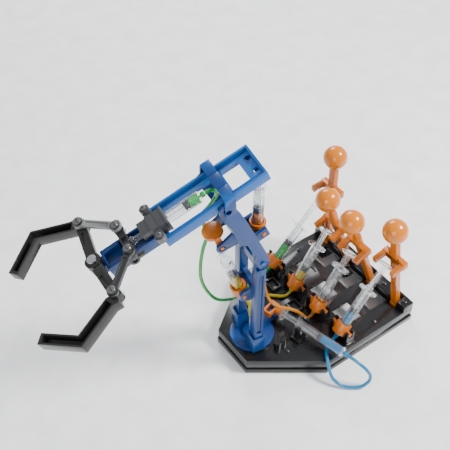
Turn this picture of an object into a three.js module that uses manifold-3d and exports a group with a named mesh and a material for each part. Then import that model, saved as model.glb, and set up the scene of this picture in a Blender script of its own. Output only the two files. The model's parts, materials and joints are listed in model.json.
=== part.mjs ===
// A toy hydraulic arm: four hand levers push water through hoses into four syringes,
// which swivel the tower, tilt the upper arm, tilt the forearm and close the gripper.
// Units are millimetres. +X points from the levers towards the gripper, +Y to the left, +Z up.
// The origin is where the swivel axis meets the surface that the base stands on.
import * as THREE from "three";
import { mergeVertices } from "three/addons/utils/BufferGeometryUtils.js";
import Module from "manifold-3d";

const wasm = await Module();
wasm.setup();

// ---------------------------------------------------------------- driving dimensions
const GAP = 0.3; // between faces that touch
const LANE = 36; // spacing of the four levers
const LANES = [-1.5, -0.5, 0.5, 1.5].map((k) => k * LANE);

const BASE = { front: 25, frontHalf: 24, shoulder: -40, half: 71, rear: -155.5, high: 19 };
const RIM = { foot: 6, groove: 8, inset: 1.4, upper: 0.7 };
const SHELL = { wall: 3, top: 3.5 };
const WINDOW = { long: 22, wide: 23, rows: [-128, -95] };
const SOCKETS = [
  [-55, -36],
  [-55, 0],
]; // centres of the two open box sockets between the controls
const SLOT = { half: 5.5, rear: -153.3, front: -137.5 };
const RAIL = { front: -141.5, high: 26.5 };

const PIVOT = { x: -147, z: 14.5, pin: 1.5 };
const LEVER = { long: 127, hub: 5.5, wide: 8, deep: 6, yoke: 84, reach: 13, prong: 11.8 };
const KNOB_R = 12.3;
const REST_TILT = [2, 20.5, 21, 11.5]; // degrees forward of upright

const BARREL = { outer: 5.2, inner: 4.4, low: -7, flange: 46, nozzle: -11.5, spout: 1.9 };
const PLUNGER = { long: 58, seal: 4.1, rib: 1.4, thumb: 7.8 };
const COLLAR = { outer: 7.6, half: 6, pin: 2.2, tip: 12.5 };
const COLLAR_X = -70.6;
const COLLAR_Z = 32.5;

const SWIVEL_REST = -10; // degrees, the arm's heading
const TABLE = { r: 22.2, low: 19.4, high: 23, spindle: 7 };
const CRANK = { angle: 201, r: 32, pin: 2.2, top: 37 };
const POST = { inner: 12, outer: 22, rear: 0, front: 9, foot: 24, top: 141, ear: 158 };
const SHOULDER = { x: 4, z: 150 };
const UPPER = { lean: 23.9, inner: 19.4, outer: 22, long: 87 };
const ELBOW = { x: 38.3, z: 229.8 };
const DROP = 22.5; // degrees that the forearm points below level
const SHOULDER_SYRINGE = { low: [15.5, 98.9], high: [38.8, 177.5], long: 66 };
const ELBOW_SYRINGE = { low: [-1.5, 175], high: [-1.3, 238.6], long: 52 };
const CAP = { thumb: 7, low: 8.1, high: 12, r: 9.2 }; // heights above the shoulder syringe's upper pins
const JAW = { s: 110.6, h: 10.5, cornerS: 106.5, cornerW: 40, thick: 5 };
const SLIDER_S = 81;
const SLIDER_BOSS = 14; // the link pins' distance from the centre line
const NOSE = { half: 10.5, front: 104 };
const GRIP = { s: 18.5, h: 8, long: 54.3 }; // where the gripper syringe's own origin lies on the forearm

// The hoses' routes, each from a driven syringe's nozzle to the nozzle of its control.
const HOSE_R = 1.7;
const HOSES = {
  green: [
    [46.8, -8.2, 234.6],
    [42.3, -7.5, 235.5],
    [39.1, -6.9, 234.2],
    [37.0, -6.6, 231.4],
    [36.5, -6.8, 227.9],
    [37.0, -7.4, 225.4],
    [41.4, -9.3, 217],
    [44.2, -14.4, 207],
    [44.8, -19.6, 196],
    [40.1, -22.8, 186],
    [37.2, -25.3, 174],
    [34.6, -25.4, 162],
    [38.8, -26.0, 146],
    [41.5, -26.4, 127],
    [41.0, -27.2, 107],
    [35.4, -26.6, 86],
    [23.8, -26.0, 65],
    [2.0, -28.8, 48],
    [-13, -38, 36],
    [-28, -46, 27],
    [-42, -51, 22.5],
    [-51, -53.5, 21.8],
    [-57.8, -54, 21.9],
    [-60.5, -54, 22.5],
    [-62.2, -54, 23.45],
  ],
  yellow: [
    [11.9, -2.1, 87.6],
    [10.8, -1.9, 83.6],
    [7.4, -1.3, 77],
    [3.7, -0.7, 68],
    [2.5, -0.9, 57],
    [1.2, -1.7, 48],
    [-3.8, -4.4, 39],
    [-10, -10.4, 31.5],
    [-14.5, -18.8, 27],
    [-19.7, -28, 24.8],
    [-28, -33.5, 23],
    [-38.5, -30.5, 21.8],
    [-47, -24, 21.4],
    [-53, -19.5, 20.6],
    [-58.7, -18, 19.5],
    [-62, -18, 20.35],
    [-64.1, -18, 22.0],
  ],
  amber: [
    [-1.5, 0.3, 163.2],
    [-1.8, 0.3, 155],
    [-3.4, 0.6, 140],
    [-5.9, 1.1, 122],
    [-8.9, 1.6, 104],
    [-11.8, 2.1, 86],
    [-15, 3.7, 70],
    [-20, 6.6, 59],
    [-27, 9.6, 51.5],
    [-36, 13.2, 46],
    [-44, 16, 38.5],
    [-50.5, 17.5, 29.5],
    [-54.8, 18, 22.6],
    [-58.8, 18, 19.5],
    [-62.1, 18, 20.3],
    [-64.15, 18, 22.0],
  ],
  blue: [
    [-52.8, 82.2, 32.5],
    [-54.2, 88, 32.3],
    [-57, 95.5, 30],
    [-61, 102, 24],
    [-64, 105.5, 15.5],
    [-62.5, 106, 8],
    [-55.5, 104, 3.2],
    [-46.5, 98, 2.4],
    [-39.5, 90.5, 4.2],
    [-36, 83, 9.5],
    [-36.5, 76.5, 16.5],
    [-38.5, 70.5, 23.2],
    [-44, 62.5, 23.6],
    [-51.5, 56.5, 21.3],
    [-58.2, 54, 20.6],
    [-61.2, 54, 21.3],
    [-63.4, 54, 23.06],
  ],
};

const COLOURS = {
  green: 0x2f9e50,
  yellow: 0xe0c23a,
  amber: 0xd98a2b,
  water: 0x2f6fc0,
  black: 0x2b2d30,
  blue: 0x1456b8,
  orange: 0xf08a24,
  grey: 0x4a4d50,
  clear: 0xdfe7ea,
  steel: 0xb8bcc0,
};

// ---------------------------------------------------------------- solids
// A closed geometry as a manifold-3d solid.
function solid(geometry) {
  const plain = geometry.clone();
  plain.deleteAttribute("normal");
  plain.deleteAttribute("uv");
  const merged = mergeVertices(plain, 1e-4);
  return new wasm.Manifold(
    new wasm.Mesh({
      numProp: 3,
      vertProperties: merged.attributes.position.array,
      triVerts: new Uint32Array(merged.index.array),
    }),
  );
}

const join = (...parts) => parts.reduce((a, b) => a.add(b));
const cut = (body, ...tools) => tools.reduce((a, b) => a.subtract(b), body);

// A box between two opposite corners.
function block(a, b) {
  const size = a.map((v, i) => Math.abs(b[i] - v));
  const middle = a.map((v, i) => (v + b[i]) / 2);
  return solid(new THREE.BoxGeometry(...size).translate(...middle));
}

// A cylinder along "x", "y" or "z" between two places on that axis.
function rod(axis, r, from, to, centre, sides = 16) {
  const g = new THREE.CylinderGeometry(r, r, to - from, sides);
  const middle = (from + to) / 2;
  if (axis === "z") g.rotateX(Math.PI / 2).translate(centre[0], centre[1], middle);
  if (axis === "y") g.translate(centre[0], middle, centre[1]);
  if (axis === "x") g.rotateZ(-Math.PI / 2).translate(middle, centre[0], centre[1]);
  return solid(g);
}

// A body turned from a profile of [radius, height] points about Z.
function turned(profile, sides = 16) {
  const points = profile.map(([r, z]) => new THREE.Vector2(r, z));
  return solid(new THREE.LatheGeometry(points, sides).rotateX(Math.PI / 2));
}

// An outline in XY, extruded from one height to another.
function slab(outline, low, high, holes = []) {
  const shape = new THREE.Shape(outline.map(([x, y]) => new THREE.Vector2(x, y)));
  shape.holes = holes.map((h) => new THREE.Path(h.map(([x, y]) => new THREE.Vector2(x, y))));
  const g = new THREE.ExtrudeGeometry(shape, { depth: high - low, bevelEnabled: false });
  return solid(g.translate(0, 0, low));
}

// An outline in XZ, extruded between two places on Y.
function panel(outline, from, to, holes = []) {
  const shape = new THREE.Shape(outline.map(([x, z]) => new THREE.Vector2(x, z)));
  shape.holes = holes.map((h) => new THREE.Path(h.map(([x, z]) => new THREE.Vector2(x, z))));
  const g = new THREE.ExtrudeGeometry(shape, { depth: to - from, bevelEnabled: false });
  return solid(g.rotateX(Math.PI / 2).translate(0, to, 0));
}

// A bar of rectangular section between two points in XY.
function strut(a, b, wide, low, high, past = 0) {
  const dir = new THREE.Vector2(b[0] - a[0], b[1] - a[1]).normalize();
  const side = new THREE.Vector2(-dir.y, dir.x).multiplyScalar(wide / 2);
  const p = new THREE.Vector2(...a).addScaledVector(dir, -past);
  const q = new THREE.Vector2(...b).addScaledVector(dir, past);
  const corner = (v, k) => [v.x + k * side.x, v.y + k * side.y];
  return slab([corner(p, -1), corner(q, -1), corner(q, 1), corner(p, 1)], low, high);
}

// A tube along a smooth curve through the points, with a step every two diameters.
function tube(points, r) {
  const knots = points.map((p) => new THREE.Vector3(...p));
  const path = new THREE.CatmullRomCurve3(knots, false, "centripetal");
  const section = new THREE.Shape(ring(r, 8).map(([x, y]) => new THREE.Vector2(x, y)));
  const steps = Math.round(path.getLength() / (4 * r));
  return solid(new THREE.ExtrudeGeometry(section, { steps, extrudePath: path, bevelEnabled: false }));
}

const ring = (r, sides, cx = 0, cy = 0) =>
  Array.from({ length: sides }, (_, i) => {
    const a = (2 * Math.PI * i) / sides;
    return [cx + r * Math.cos(a), cy + r * Math.sin(a)];
  });

function mesh(name, body, colour) {
  const data = body.getMesh();
  const g = new THREE.BufferGeometry();
  g.setAttribute("position", new THREE.BufferAttribute(data.vertProperties.slice(), 3));
  g.setIndex(new THREE.BufferAttribute(data.triVerts.slice(), 1));
  g.computeVertexNormals();
  const shiny = colour === "steel";
  const material = new THREE.MeshStandardMaterial({
    color: COLOURS[colour],
    roughness: 0.35,
    metalness: shiny ? 0.9 : 0,
    transparent: colour === "clear",
    opacity: colour === "clear" ? 0.4 : 1,
  });
  const m = new THREE.Mesh(g, material);
  m.name = name;
  return m;
}

function frame(x, y, z, lean = 0) {
  const g = new THREE.Group();
  g.position.set(x, y, z);
  g.rotation.y = THREE.MathUtils.degToRad(lean);
  return g;
}

const arm = new THREE.Group();

// ---------------------------------------------------------------- base
function baseOutline(inset) {
  const front = BASE.front - inset;
  const rear = BASE.rear + inset;
  const half = BASE.half - inset;
  const nose = BASE.frontHalf - inset * 0.6;
  const shoulder = BASE.shoulder - inset * 0.3;
  return [
    [rear, -half],
    [shoulder, -half],
    [front, -nose],
    [front, nose],
    [shoulder, half],
    [rear, half],
  ];
}

function windowBox(x, y, grow, low, high) {
  const dx = WINDOW.long / 2 + grow;
  const dy = WINDOW.wide / 2 + grow;
  return block([x - dx, y - dy, low], [x + dx, y + dy, high]);
}

function basePlate() {
  const windows = WINDOW.rows.flatMap((x) => [-LANE, 0, LANE].map((y) => [x, y]));
  const ribs = [
    ...LANES.map((y) =>
      block([SLOT.rear - 1.9, y - SLOT.half - 2, 0], [SLOT.front + 2, y + SLOT.half + 2, BASE.high - 1]),
    ),
    ...LANES.map((y) => block([COLLAR_X - 6, y - 2, 0], [BASE.shoulder - 6, y + 2, BASE.high - 1])),
    rod("z", 12, 0, BASE.high - 1, [0, 0], 24),
    block([-60, -1.5, 0], [-8, 1.5, BASE.high - 1]),
  ];
  const hollow = cut(slab(baseOutline(SHELL.wall), -1, BASE.high - SHELL.top), ...ribs);
  const outer = join(
    slab(baseOutline(0), 0, RIM.foot),
    slab(baseOutline(RIM.inset), 0, BASE.high - 1),
    slab(baseOutline(RIM.upper), RIM.groove, BASE.high),
  );
  const slots = LANES.map((y) =>
    block([SLOT.rear, y - SLOT.half, -1], [SLOT.front, y + SLOT.half, BASE.high + 1]),
  );
  const axleReach = LANES[3] + SLOT.half + 4;
  const grooves = LANES.map((y) =>
    block([COLLAR_X + 4, y - 3, BASE.high - 1.8], [COLLAR_X + 21, y + 3, BASE.high + 1]),
  );
  const sockets = SOCKETS.map(([x, y]) => {
    const top = BASE.high + 5;
    return cut(
      block([x - 6, y - 8, BASE.high - 1], [x + 6, y + 8, top]),
      block([x - 4.4, y - 6.4, BASE.high], [x + 4.4, y + 6.4, top + 1]),
    );
  });
  const ties = SOCKETS.map(([x, y]) =>
    block([x - 10, y - 11, BASE.high - 1], [x - 5.5, y + 11, BASE.high + 1.2]),
  );
  const stop = join(
    rod("z", 3.6, BASE.high - 1, BASE.high + 9, [-10, 28], 16),
    block([-18, 25.6, BASE.high - 1], [-10, 30.4, BASE.high + 5]),
    rod("z", 3, BASE.high - 1, BASE.high + 6.4, [-18, 28], 16),
  );
  return cut(
    join(cut(outer, hollow), stop, ...sockets, ...ties),
    ...windows.map(([x, y]) => windowBox(x, y, 0, -1, BASE.high + 1)),
    ...slots,
    ...grooves,
    rod("y", PIVOT.pin + 0.1, -axleReach, axleReach, [PIVOT.x, PIVOT.z], 12),
    rod("z", TABLE.spindle + 0.3, 2.5, BASE.high + 1, [0, 0], 24),
  );
}

function leverRail() {
  const low = BASE.high + GAP;
  const cuts = LANES.map((y) =>
    block([BASE.rear + 3, y - SLOT.half, low - 1], [RAIL.front + 1, y + SLOT.half, RAIL.high + 1]),
  );
  const half = BASE.half - RIM.upper;
  return cut(block([BASE.rear + RIM.upper, -half, low], [RAIL.front, half, RAIL.high]), ...cuts);
}

function forkClip(y) {
  const low = BASE.high + GAP;
  const foot = block([COLLAR_X - 7, y - 13.5, low], [COLLAR_X + 3.4, y + 13.5, low + 1.6]);
  const prong = (side) => {
    const from = side > 0 ? y + 9 : y - 13;
    const outline = [
      [COLLAR_X - 5.5, low],
      [COLLAR_X + 5, low],
      [COLLAR_X + 4.5, COLLAR_Z + 4],
      [COLLAR_X + 2.7, COLLAR_Z + 5],
      [COLLAR_X + 2.6, COLLAR_Z - 2.6],
      [COLLAR_X - 2.6, COLLAR_Z - 2.6],
      [COLLAR_X - 2.7, COLLAR_Z + 5],
      [COLLAR_X - 4.8, COLLAR_Z + 4],
    ];
    return panel(outline, from, from + 4);
  };
  return join(foot, prong(1), prong(-1));
}

// ---------------------------------------------------------------- syringes, along +Z from the pins
function barrel(winged = true) {
  const { outer, inner, low, flange, nozzle, spout } = BARREL;
  const tube = turned([
    [0, nozzle],
    [spout, nozzle],
    [spout + 0.3, low - 0.5],
    [outer, low],
    [outer, flange + 1.2],
    [inner, flange + 1.2],
    [inner, low + 1.2],
    [0, low + 1.2],
  ]);
  const wing = slab(
    [
      [-6.4, -8.5],
      [-4, -10],
      [4, -10],
      [6.4, -8.5],
      [6.4, 8.5],
      [4, 10],
      [-4, 10],
      [-6.4, 8.5],
    ],
    flange,
    flange + 1.4,
    [ring(inner + 0.2, 16)],
  );
  return winged ? join(tube, wing) : tube;
}

// The plunger's thumb disc is centred at the given height.
function plunger(thumb, long = PLUNGER.long, thumbRadius = PLUNGER.thumb) {
  const tip = thumb - long;
  const rib = PLUNGER.rib / 2;
  return join(
    rod("z", PLUNGER.seal, tip, tip + 5, [0, 0], 16),
    block([-3.6, -rib, tip + 1], [3.6, rib, thumb]),
    block([-rib, -3.6, tip + 1], [rib, 3.6, thumb]),
    rod("z", thumbRadius, thumb - 0.8, thumb + 0.8, [0, 0], 16),
  );
}

function collar() {
  const { outer, half, pin, tip } = COLLAR;
  const shell = join(
    rod("z", outer, -half, half, [0, 0], 16),
    rod("y", pin, -tip, tip, [0, 0], 8),
    rod("y", pin + 1.6, -8.5, 8.5, [0, 0], 8),
  );
  return cut(shell, rod("z", BARREL.outer + GAP + 0.1, -half - 1, half + 1, [0, 0], 16));
}

// ---------------------------------------------------------------- levers, along +Z from the axle
function lever() {
  const w = LEVER.wide / 2;
  const d = LEVER.deep / 2;
  const { hub, yoke, reach, prong } = LEVER;
  const top = LEVER.long - KNOB_R + 3;
  const bar = cut(
    block([-d, -w, 0], [d, w, top]),
    block([1.2, -w + 1.8, 14], [d + 1, w - 1.8, yoke - 12]),
    block([-d - 1, -w + 1.8, 14], [-1.2, w - 1.8, top - 16]),
  );
  const crossbar = block([-d, -prong - 2.6, yoke - 4], [d + 0.5, prong + 2.6, yoke + 4]);
  const arms = [-1, 1].map((side) =>
    block(
      [0, side * prong - 2.3, yoke - 3.4],
      [reach + 3.6, side * prong + 2.3, yoke + 3.4],
    ),
  );
  return cut(
    join(bar, rod("y", hub, -w, w, [0, 0], 16), crossbar, ...arms),
    rod("y", PIVOT.pin + 0.1, -w - 1, w + 1, [0, 0], 12),
  );
}

function knob() {
  const ball = solid(new THREE.SphereGeometry(KNOB_R, 16, 10)).translate([0, 0, LEVER.long]);
  const clear = LEVER.deep / 2 + GAP;
  const side = LEVER.wide / 2 + GAP;
  const socket = block([-clear, -side, 0], [clear, side, LEVER.long - KNOB_R + 3 + GAP]);
  return cut(ball, socket);
}

// ---------------------------------------------------------------- swivel
function turntable() {
  const socket = (side) => {
    const near = side * (POST.inner - 1.6);
    const far = side * (POST.outer + 1.6);
    const [from, to] = near < far ? [near, far] : [far, near];
    const outer = block([POST.rear - 2, from, TABLE.high - 1], [POST.front + 2, to, 42]);
    const middle = (side * (POST.inner + POST.outer)) / 2;
    const half = (POST.outer - POST.inner) / 2 + GAP;
    const inner = block(
      [POST.rear - GAP, middle - half, TABLE.high + 0.7],
      [POST.front + GAP, middle + half, 43],
    );
    return [outer, inner];
  };
  const [leftOuter, leftInner] = socket(1);
  const [rightOuter, rightInner] = socket(-1);
  const a = THREE.MathUtils.degToRad(CRANK.angle);
  const pin = [CRANK.r * Math.cos(a), CRANK.r * Math.sin(a)];
  const body = join(
    rod("z", TABLE.r, TABLE.low, TABLE.high, [0, 0], 40),
    rod("z", TABLE.spindle, 3, TABLE.high, [0, 0], 24),
    rod("z", 9, TABLE.high - 1, TABLE.high + 4, [0, 0], 24),
    leftOuter,
    rightOuter,
    strut([pin[0] * 0.4, pin[1] * 0.4], pin, 10, TABLE.low + 0.3, TABLE.high - 0.4, 5),
    rod("z", CRANK.pin, TABLE.high - 1, CRANK.top, pin, 12),
  );
  return cut(body, leftInner, rightInner);
}

function tower() {
  const post = (side) => {
    const w = side * (POST.inner + POST.outer) * 0.5;
    const half = (POST.outer - POST.inner) / 2;
    const body = block([POST.rear, w - half, POST.foot], [POST.front, w + half, POST.top]);
    const groove = block(
      [2.2, w + side * (half - 2), 48],
      [POST.front - 2.2, w + side * (half + 1), POST.top - 8],
    );
    const reach = UPPER.inner - GAP - 0.4;
    const inside = side > 0 ? [POST.inner, reach] : [-reach, -POST.inner];
    const ear = block([POST.rear, inside[0], POST.top - 4], [POST.front, inside[1], POST.ear]);
    return join(cut(body, groove), ear);
  };
  const w = POST.inner + 1;
  const bar = (low, high) => block([1, -w, low], [6.4, w, high]);
  const ears = [-1, 1].map((side) => {
    const from = side > 0 ? 8.9 : -12;
    const outline = [
      [6, 91],
      [17, 92],
      [20, 96],
      [20, 102],
      [17, 105.5],
      [6, 108],
    ];
    return panel(outline, from, from + 3.1, [ring(2.6, 12, ...SHOULDER_SYRINGE.low)]);
  });
  const pivot = rod("y", 2.4, -POST.outer - 6, POST.outer + 6, [SHOULDER.x, SHOULDER.z], 12);
  return cut(join(post(1), post(-1), bar(100, 109), bar(136, 145), ...ears), pivot);
}

// ---------------------------------------------------------------- upper arm, along +Z from its pin
function inUpperArm([x, z]) {
  const lean = THREE.MathUtils.degToRad(UPPER.lean);
  const dx = x - SHOULDER.x;
  const dz = z - SHOULDER.z;
  return [dx * Math.cos(lean) - dz * Math.sin(lean), dx * Math.sin(lean) + dz * Math.cos(lean)];
}

function upperArm() {
  const { inner, outer, long } = UPPER;
  const outline = [
    [-6, -5],
    [0, -8],
    [5, -5],
    [5, 4],
    [2, 9],
    [1.6, 33],
    [7.4, 40],
    [7, 46],
    [5.2, 62],
    [6.5, long - 4],
    [5, long + 5],
    [0, long + 7],
    [-6, long + 4],
    [-8.5, long - 12],
    [-9, 60],
    [-8, 8],
  ];
  const plates = [-1, 1].map((side) => {
    const from = side > 0 ? inner : -outer;
    return panel(outline, from, from + outer - inner, [
      ring(2.4, 12),
      ring(2.6, 12, 0, long),
    ]);
  });
  const half = outer - 0.5;
  const face = panel([[7.6, 37], [7, 44], [5.2, 61.5], [3.2, 61.5], [5, 44], [5.4, 37]], -half, half);
  const web = block([-4.6, -half, 11], [-2.8, half, 39]);
  const shelf = block([-4.6, -half, 37], [5.6, half, 39]);
  const [lx, lz] = inUpperArm(SHOULDER_SYRINGE.high);
  const lug = [-1, 1].map((side) => {
    const outline = [
      [4, lz - 7],
      [lx - 2, lz - 5],
      [lx + 3, lz - 4.4],
      [lx + 5.4, lz],
      [lx + 3, lz + 4.4],
      [lx - 2, lz + 5],
      [4, lz + 9],
    ];
    return panel(outline, side > 0 ? 10.9 : -13.7, side > 0 ? 13.7 : -10.9, [ring(2.9, 12, lx, lz)]);
  });
  const [px, pz] = inUpperArm(ELBOW_SYRINGE.low);
  const rear = [-1, 1].map((side) => {
    const from = side > 0 ? 8.9 : -(inner + 0.5);
    const plate = panel(
      [
        [px - 5, pz - 5],
        [px + 5, pz - 5],
        [-1, pz - 3],
        [-1, pz + 7],
        [px + 5, pz + 5],
        [px - 5, pz + 5],
      ],
      side > 0 ? 8.9 : -12,
      side > 0 ? 12 : -8.9,
      [ring(2.6, 12, px, pz)],
    );
    const tie = block([-6, side > 0 ? 11 : from, pz + 0.5], [-1, side > 0 ? inner + 0.5 : -11, pz + 6.5]);
    return join(plate, tie);
  });
  return join(...plates, face, web, shelf, ...lug, ...rear);
}

// ---------------------------------------------------------------- forearm, along +X from the elbow pin
function forearmFrame() {
  const rail = (side) => {
    const from = side > 0 ? 12.4 : -19;
    const wall = side > 0 ? [16.8, 19] : [-19, -16.8];
    const lip = side > 0 ? [12.4, 14.4] : [-14.4, -12.4];
    return join(
      block([-43, from, -0.5], [54, from + 6.6, 2]),
      block([-43, wall[0], -0.5], [54, wall[1], 8.5]),
      block([-43, lip[0], -0.5], [54, lip[1], 6]),
    );
  };
  const rearPanel = cut(
    block([-43, -13, 3.6], [-29, 13, 5.8]),
    rod("z", 2.6, 0, 10, [-37.5, -8], 14),
    block([-39.5, 5, 0], [-35, 9.5, 10]),
  );
  const rearWall = block([-43, -18, -0.5], [-40.8, 18, 8.4]);
  const front = block([48, -18, -0.5], [54, 18, 2]);
  const middle = block([-13, -18, -0.5], [-4, 18, 2]);
  const eyes = [-1, 1].map((side) => {
    const from = side > 0 ? 17.2 : -19;
    const outline = [[-6, -0.4], [-4, -5], [4, -5], [6, -0.4], [6, 5], [-6, 5]];
    return panel(outline, from, from + 1.8, [ring(2.6, 12)]);
  });
  const hooks = [-1, 1].map((side) => {
    const outline = [
      [-43, 0],
      [-43, -9],
      [-38.5, -9],
      [-35, 0],
    ];
    return panel(outline, side > 0 ? 8.5 : -10.7, side > 0 ? 10.7 : -8.5);
  });
  const hookBeam = block([-43, -12, -0.5], [-36, 12, 1.5]);
  return join(rail(1), rail(-1), rearPanel, rearWall, front, middle, ...eyes, ...hooks, hookBeam);
}

// A band over both rails, in three panels, with a cheek and a hinge stub on each side.
function bracket() {
  const top = 12.5;
  const outer = UPPER.outer + 2.6;
  const cheeks = [-1, 1].map((side) => {
    const from = side > 0 ? UPPER.outer + GAP : -outer;
    const outline = [[-5, -5], [4, -5], [1, 6], [-2, top], [-11, top], [-8, 2]];
    return panel(outline, from, from + 2.3, [ring(2.6, 12)]);
  });
  const band = block([-11, -outer, top - 2.4], [-2, outer, top]);
  const grooves = [-8.2, 8.2].map((w) => block([-12, w - 0.4, top - 0.7], [-1, w + 0.4, top + 1]));
  return cut(join(...cheeks, band), ...grooves);
}

function noseBeam() {
  const { half, front } = NOSE;
  const body = block([56, -half, -3], [front, half, 7.8]);
  const wide = block([55, -half + 2, -0.5], [87, half - 2, 9]);
  const channel = block([55, -5.9, 2], [102, 5.9, 9]);
  const hollow = block([88, -half + 2, -4], [front - 2, half - 2, -0.5]);
  const pivot = join(
    rod("z", 6.8, -1, 7.8, [JAW.s, 0], 20),
    block([front - 1, -5.5, -1], [JAW.s, 5.5, 7.8]),
  );
  const tongue = block([48, -9.5, -3.4], [62, 9.5, -0.8]);
  return join(cut(body, wide, channel, hollow), pivot, tongue);
}

// A crossbar over the rails, with a screw boss at each end and blocks round the syringe.
function gripClamp() {
  const bar = block([51.6, -16, 8.9], [58.4, 16, 12]);
  const bosses = [-1, 1].map((side) =>
    cut(
      join(rod("z", 4.3, 8.9, 14.5, [55, side * 16.6], 20), rod("z", 3, 12, 16, [55, side * 16.6], 16)),
      rod("z", 1.4, 12, 17, [55, side * 16.6], 12),
    ),
  );
  const rearBlock = block([43, -8.2, 2.6], [51.8, 8.2, 15.4]);
  const rearLip = block([43, -8.8, 2.6], [45, 8.8, 16]);
  const frontBlock = block([58, -7.4, 8.4], [67, 7.4, 14.4]);
  const saddle = block([51, -8.2, 8.9], [59, 8.2, 15]);
  const bore = rod("x", BARREL.outer + GAP, 40, 75, [0, GRIP.h], 16);
  const under = block([40, -5.5, 0], [75, 5.5, GRIP.h]);
  return cut(join(bar, ...bosses, rearBlock, rearLip, saddle, frontBlock), bore, under);
}

function slider() {
  const low = JAW.h - 2.2;
  const body = join(
    block([SLIDER_S - 3.4, -SLIDER_BOSS, low], [SLIDER_S + 3.4, SLIDER_BOSS, low + 5]),
    ...[-1, 1].map((side) => rod("z", 4.4, low, low + 5, [SLIDER_S, side * SLIDER_BOSS], 16)),
  );
  const clip = block([SLIDER_S - 2.2, -5, low + 2.4], [SLIDER_S + 2.2, 1, low + 6]);
  const bosses = [-1, 1].map((side) => {
    const centre = [SLIDER_S, side * SLIDER_BOSS];
    return join(
      rod("z", 2, low, JAW.h + 9.5, centre, 12),
      rod("z", 4.2, JAW.h + 9, JAW.h + 10.6, centre, 12),
    );
  });
  const saddle = block([SLIDER_S - 3.5, -4.6, 2.4], [SLIDER_S + 3.5, 4.6, low + 1]);
  const eyeAt = [SLIDER_S + 1, 6.5];
  const eye = cut(rod("y", 4.5, 14.4, 17.4, eyeAt, 20), rod("y", 2.6, 13, 19, eyeAt, 16));
  const stub = block([SLIDER_S - 9, 14.4, 5.4], [SLIDER_S - 2.6, 17.4, 8.2]);
  return join(cut(body, clip), saddle, ...bosses, eye, stub);
}

// The hole at the slider is wide and lies a little outboard, for the link's swing.
function link(side) {
  const low = JAW.h + JAW.thick + 0.6;
  const a = [SLIDER_S, side * (SLIDER_BOSS + 0.95)];
  const b = [JAW.cornerS, side * JAW.cornerW];
  return cut(
    join(
      strut(a, b, 6.4, low, low + 3),
      rod("z", 5.2, low, low + 3, a, 16),
      rod("z", 5, low, low + 3, b, 16),
    ),
    strut(a, b, 4, low + 2, low + 4, -6.5),
    rod("z", 3.4, low - 1, low + 4, a, 12),
    rod("z", 2.4, low - 1, low + 4, b, 12),
  );
}

// A bar of one width that follows a bent line in XY, with mitred bends.
function ribbon(points, wide, low, high) {
  const line = points.map((p) => new THREE.Vector2(...p));
  const edge = (side) =>
    line.map((p, i) => {
      const before = line[Math.max(i - 1, 0)];
      const after = line[Math.min(i + 1, line.length - 1)];
      const inward = p.clone().sub(i ? before : p);
      const onward = after.clone().sub(p);
      const a = (i ? inward : onward).normalize();
      const b = (i < line.length - 1 ? onward : inward).normalize();
      const normal = new THREE.Vector2(-a.y - b.y, a.x + b.x).normalize();
      const reach = wide / 2 / normal.dot(new THREE.Vector2(-a.y, a.x));
      return [p.x + side * normal.x * reach, p.y + side * normal.y * reach];
    });
  const outline = [...edge(-1), ...edge(1).reverse()];
  const clockwise = THREE.ShapeUtils.isClockWise(outline.map(([x, y]) => ({ x, y })));
  return slab(clockwise ? outline.reverse() : outline, low, high);
}

// Each jaw is an upright channel that is open at the top, on a flat bar to the shared pivot.
function jaw(side) {
  const low = side > 0 ? JAW.h : JAW.h + 0.2;
  const top = low + JAW.thick;
  const pivot = [JAW.s, 0];
  const corner = [JAW.cornerS, side * JAW.cornerW];
  const heel = [JAW.cornerS - 0.5, side * (JAW.cornerW + 4.6)];
  const bend = [146, side * 60];
  const tip = [174, side * 36];
  const trough = [tip[0] - 2, tip[1] + side * 1.7];
  const hubLow = side > 0 ? JAW.h - 2.3 : JAW.h + 1.5;
  const inner = [pivot[0] + (corner[0] - pivot[0]) * 0.3, corner[1] * 0.3];
  const path = [heel, [JAW.cornerS + 7, side * (JAW.cornerW + 4.2)], bend, tip];
  const groove = [
    [pivot[0] - 0.6, side * 18],
    [pivot[0] - 2.6, side * 31],
  ];
  return cut(
    join(
      rod("z", 7, hubLow, hubLow + 3.5, pivot, 20),
      strut(pivot, inner, 9, hubLow, hubLow + 3.5),
      strut(inner, corner, 9, low, top, 4),
      rod("z", 5, low - 4, top, corner, 16),
      cut(ribbon(path, 9.5, low - 5, top), ribbon([path[1], bend, trough], 6.3, low - 3.4, top + 1)),
      rod("z", 2.1, low, JAW.h + 10, corner, 12),
      rod("z", 4.2, JAW.h + 9, JAW.h + 10.8, corner, 16),
    ),
    strut(...groove, 2.6, top - 1.4, top + 1),
    rod("z", 2.6, hubLow - 5, hubLow + 5, pivot, 14),
  );
}

function jawPin() {
  const head = JAW.h + 5.4;
  const at = [JAW.s, 0];
  return join(rod("z", 2.1, 8.1, head + 1, at, 12), rod("z", 4.2, head, head + 2, at, 16));
}

// ---------------------------------------------------------------- assembly
arm.add(mesh("base_plate", basePlate(), "black"));
arm.add(mesh("lever_rail", leverRail(), "black"));
const axleEnd = LANES[3] + SLOT.half + 3.5;
arm.add(mesh("lever_axle", rod("y", PIVOT.pin, -axleEnd, axleEnd, [PIVOT.x, PIVOT.z], 12), "steel"));

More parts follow.
